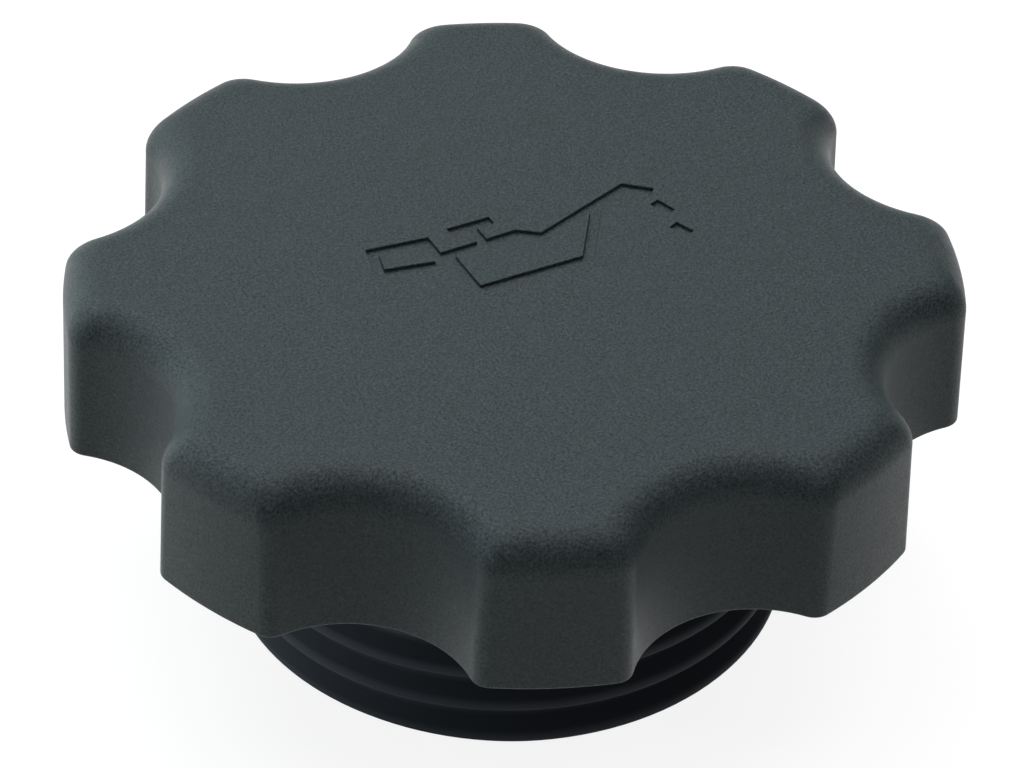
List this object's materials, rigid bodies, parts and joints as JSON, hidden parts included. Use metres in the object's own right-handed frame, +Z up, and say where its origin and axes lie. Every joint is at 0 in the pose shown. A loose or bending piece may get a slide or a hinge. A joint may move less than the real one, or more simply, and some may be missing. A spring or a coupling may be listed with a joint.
{
  "type": "oil filler cap",
  "caption": "Screw-in engine oil filler cap: lobed grip head on a hollow plug with an outside thread, and a rubber sealing ring under the head.",
  "frame": {"origin": "on the thread's axis, in the plane of the plug's bottom rim, on which the cap stands", "axes": "+Z up the axis, from the plug to the head; +X through the middle of a finger scallop, along the base line of the sign on the head"},
  "size_m": [0.0638, 0.0638, 0.0284],
  "materials": {
    "cap_plastic": "fine sandblasted grain",
    "seal_rubber": "smooth moulded"
  },
  "bodies": {
    "root": {"cap_body": "cap_plastic", "sealing_ring": "seal_rubber"}
  },
  "joints": []
}
